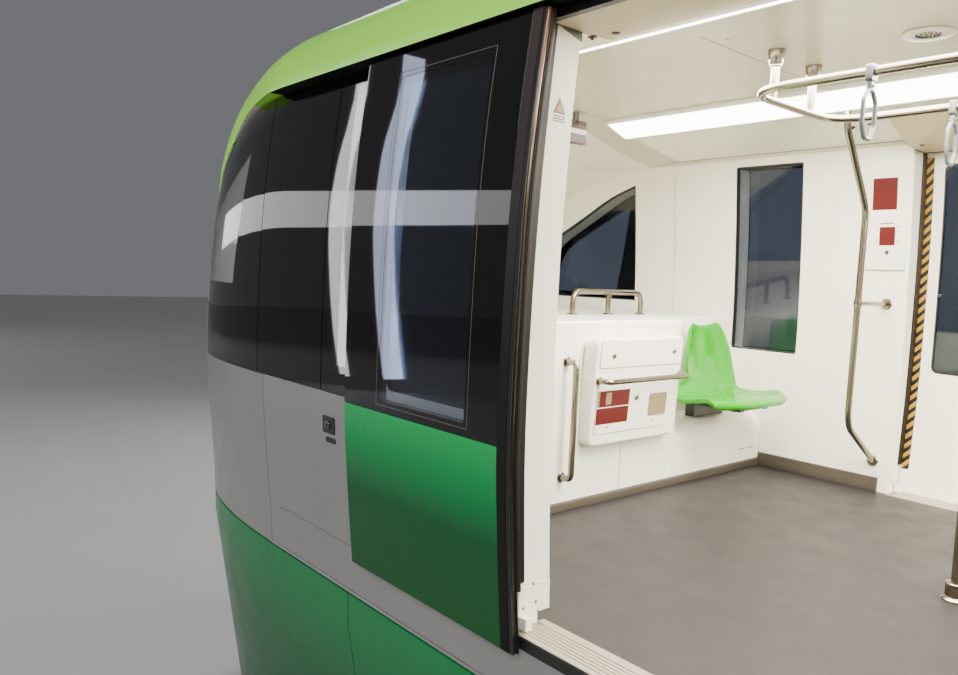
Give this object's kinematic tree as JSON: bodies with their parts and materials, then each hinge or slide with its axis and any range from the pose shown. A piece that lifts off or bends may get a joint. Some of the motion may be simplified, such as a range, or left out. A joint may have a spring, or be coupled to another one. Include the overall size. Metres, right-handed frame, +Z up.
{
  "type": "straddle monorail end car",
  "caption": "End car of a driverless straddle monorail: hollow cabin, sliding door leaves, green and silver body, rubber-tyred bogies that ride on a beam.",
  "frame": {"origin": "on the top face of the guide beam, midway between the two bogies", "axes": "+X forward to the nose, +Y to the car's left, +Z up"},
  "size_m": [13.2, 3.148, 4.043],
  "materials": {
    "silver_paint": "satin silver-grey paint",
    "lime_paint": "gloss light green paint",
    "green_paint": "gloss green paint",
    "leaf_paint": "gloss green paint below black glass",
    "dark_glass": "polished black tinted glass",
    "white_moulding": "satin cream-white moulding",
    "seat_plastic": "gloss bright green",
    "floor_covering": "matt speckled blue-grey",
    "stainless": "brushed",
    "lamp_glass": "clear polished lamp cover",
    "bellows_rubber": "matt",
    "bogie_paint": "semi-matt dark grey paint",
    "tyre_rubber": "matt"
  },
  "bodies": {
    "car_body": {"floor": "floor_covering", "side_wall_left": "silver_paint", "side_wall_right": "silver_paint", "glazing_rear_left": "dark_glass", "glazing_rear_right": "dark_glass", "glazing_mid_left": "dark_glass", "glazing_mid_right": "dark_glass", "glazing_front_left": "dark_glass", "glazing_front_right": "dark_glass", "cant_band_left": "lime_paint", "cant_band_right": "lime_paint", "roof": "silver_paint", "nose_arch": "lime_paint", "nose_shell": "silver_paint", "headlamp_left": "lamp_glass", "headlamp_right": "lamp_glass", "windscreen": "dark_glass", "skirt_left": "green_paint", "skirt_right": "green_paint", "rear_end_wall": "silver_paint", "gangway_bellows": "bellows_rubber", "drawbar": "bogie_paint", "roof_unit_front": "silver_paint", "roof_unit_rear": "silver_paint", "front_console": "white_moulding", "console_hoop_left": "stainless", "console_hoop_right": "stainless", "rear_bogie_cover": "white_moulding", "corner_seat_left": "seat_plastic", "corner_seat_right": "seat_plastic", "bench_left": "seat_plastic", "bench_right": "seat_plastic", "overhead_rail": "stainless", "grab_pole_front": "stainless", "grab_pole_rear": "stainless", "handrail_right": "stainless"},
    "bogie_front": {"bogie_frame_front": "bogie_paint"},
    "load_axle_front": {"load_axle_front": "tyre_rubber"},
    "guide_wheel_front_fore_left": {"guide_wheel_front_fore_left": "tyre_rubber"},
    "guide_wheel_front_fore_right": {"guide_wheel_front_fore_right": "tyre_rubber"},
    "guide_wheel_front_aft_left": {"guide_wheel_front_aft_left": "tyre_rubber"},
    "guide_wheel_front_aft_right": {"guide_wheel_front_aft_right": "tyre_rubber"},
    "stabiliser_wheel_front_left": {"stabiliser_wheel_front_left": "tyre_rubber"},
    "stabiliser_wheel_front_right": {"stabiliser_wheel_front_right": "tyre_rubber"},
    "bogie_rear": {"bogie_frame_rear": "bogie_paint"},
    "load_axle_rear": {"load_axle_rear": "tyre_rubber"},
    "guide_wheel_rear_fore_left": {"guide_wheel_rear_fore_left": "tyre_rubber"},
    "guide_wheel_rear_fore_right": {"guide_wheel_rear_fore_right": "tyre_rubber"},
    "guide_wheel_rear_aft_left": {"guide_wheel_rear_aft_left": "tyre_rubber"},
    "guide_wheel_rear_aft_right": {"guide_wheel_rear_aft_right": "tyre_rubber"},
    "stabiliser_wheel_rear_left": {"stabiliser_wheel_rear_left": "tyre_rubber"},
    "stabiliser_wheel_rear_right": {"stabiliser_wheel_rear_right": "tyre_rubber"},
    "door_front_left_fore": {"door_front_left_fore": "leaf_paint"},
    "door_front_left_aft": {"door_front_left_aft": "leaf_paint"},
    "door_front_right_fore": {"door_front_right_fore": "leaf_paint"},
    "door_front_right_aft": {"door_front_right_aft": "leaf_paint"},
    "door_rear_left_fore": {"door_rear_left_fore": "leaf_paint"},
    "door_rear_left_aft": {"door_rear_left_aft": "leaf_paint"},
    "door_rear_right_fore": {"door_rear_right_fore": "leaf_paint"},
    "door_rear_right_aft": {"door_rear_right_aft": "leaf_paint"}
  },
  "joints": [
    {"name": "bogie_front_yaw", "type": "hinge", "parent": "car_body", "child": "bogie_front", "pos_m": [4.85, 0, 0.3], "axis": [0, 0, 1], "range_deg": [-5, 5]},
    {"name": "load_axle_front_spin", "type": "hinge", "parent": "bogie_front", "child": "load_axle_front", "pos_m": [4.85, 0, 0.503], "axis": [0, 1, 0], "continuous": true},
    {"name": "guide_wheel_front_fore_left_spin", "type": "hinge", "parent": "bogie_front", "child": "guide_wheel_front_fore_left", "pos_m": [5.7, 0.545, -0.225], "axis": [0, 0, 1], "continuous": true},
    {"name": "guide_wheel_front_fore_right_spin", "type": "hinge", "parent": "bogie_front", "child": "guide_wheel_front_fore_right", "pos_m": [5.7, -0.545, -0.225], "axis": [0, 0, 1], "continuous": true},
    {"name": "guide_wheel_front_aft_left_spin", "type": "hinge", "parent": "bogie_front", "child": "guide_wheel_front_aft_left", "pos_m": [4, 0.545, -0.225], "axis": [0, 0, 1], "continuous": true},
    {"name": "guide_wheel_front_aft_right_spin", "type": "hinge", "parent": "bogie_front", "child": "guide_wheel_front_aft_right", "pos_m": [4, -0.545, -0.225], "axis": [0, 0, 1], "continuous": true},
    {"name": "stabiliser_wheel_front_left_spin", "type": "hinge", "parent": "bogie_front", "child": "stabiliser_wheel_front_left", "pos_m": [4.85, 0.545, -0.9], "axis": [0, 0, 1], "continuous": true},
    {"name": "stabiliser_wheel_front_right_spin", "type": "hinge", "parent": "bogie_front", "child": "stabiliser_wheel_front_right", "pos_m": [4.85, -0.545, -0.9], "axis": [0, 0, 1], "continuous": true},
    {"name": "bogie_rear_yaw", "type": "hinge", "parent": "car_body", "child": "bogie_rear", "pos_m": [-4.85, 0, 0.3], "axis": [0, 0, 1], "range_deg": [-5, 5]},
    {"name": "load_axle_rear_spin", "type": "hinge", "parent": "bogie_rear", "child": "load_axle_rear", "pos_m": [-4.85, 0, 0.503], "axis": [0, 1, 0], "continuous": true},
    {"name": "guide_wheel_rear_fore_left_spin", "type": "hinge", "parent": "bogie_rear", "child": "guide_wheel_rear_fore_left", "pos_m": [-4, 0.545, -0.225], "axis": [0, 0, 1], "continuous": true},
    {"name": "guide_wheel_rear_fore_right_spin", "type": "hinge", "parent": "bogie_rear", "child": "guide_wheel_rear_fore_right", "pos_m": [-4, -0.545, -0.225], "axis": [0, 0, 1], "continuous": true},
    {"name": "guide_wheel_rear_aft_left_spin", "type": "hinge", "parent": "bogie_rear", "child": "guide_wheel_rear_aft_left", "pos_m": [-5.7, 0.545, -0.225], "axis": [0, 0, 1], "continuous": true},
    {"name": "guide_wheel_rear_aft_right_spin", "type": "hinge", "parent": "bogie_rear", "child": "guide_wheel_rear_aft_right", "pos_m": [-5.7, -0.545, -0.225], "axis": [0, 0, 1], "continuous": true},
    {"name": "stabiliser_wheel_rear_left_spin", "type": "hinge", "parent": "bogie_rear", "child": "stabiliser_wheel_rear_left", "pos_m": [-4.85, 0.545, -0.9], "axis": [0, 0, 1], "continuous": true},
    {"name": "stabiliser_wheel_rear_right_spin", "type": "hinge", "parent": "bogie_rear", "child": "stabiliser_wheel_rear_right", "pos_m": [-4.85, -0.545, -0.9], "axis": [0, 0, 1], "continuous": true},
    {"name": "door_front_left_fore_slide", "type": "slide", "parent": "car_body", "child": "door_front_left_fore", "axis": [-1, 0, 0], "range_m": [0, 0.7385]},
    {"name": "door_front_left_aft_slide", "type": "slide", "parent": "car_body", "child": "door_front_left_aft", "axis": [1, 0, 0], "range_m": [0, 0.7385]},
    {"name": "door_front_right_fore_slide", "type": "slide", "parent": "car_body", "child": "door_front_right_fore", "axis": [1, 0, 0], "range_m": [0, 0.7385]},
    {"name": "door_front_right_aft_slide", "type": "slide", "parent": "car_body", "child": "door_front_right_aft", "axis": [-1, 0, 0], "range_m": [0, 0.7385]},
    {"name": "door_rear_left_fore_slide", "type": "slide", "parent": "car_body", "child": "door_rear_left_fore", "axis": [1, 0, 0], "range_m": [0, 0.7385]},
    {"name": "door_rear_left_aft_slide", "type": "slide", "parent": "car_body", "child": "door_rear_left_aft", "axis": [-1, 0, 0], "range_m": [0, 0.7385]},
    {"name": "door_rear_right_fore_slide", "type": "slide", "parent": "car_body", "child": "door_rear_right_fore", "axis": [1, 0, 0], "range_m": [0, 0.7385]},
    {"name": "door_rear_right_aft_slide", "type": "slide", "parent": "car_body", "child": "door_rear_right_aft", "axis": [-1, 0, 0], "range_m": [0, 0.7385]}
  ],
  "couplings": [
    {"joint": "door_front_left_aft_slide", "follows": "door_front_left_fore_slide", "ratio": 1},
    {"joint": "door_front_right_aft_slide", "follows": "door_front_right_fore_slide", "ratio": 1},
    {"joint": "door_rear_left_aft_slide", "follows": "door_rear_left_fore_slide", "ratio": 1},
    {"joint": "door_rear_right_aft_slide", "follows": "door_rear_right_fore_slide", "ratio": 1}
  ]
}
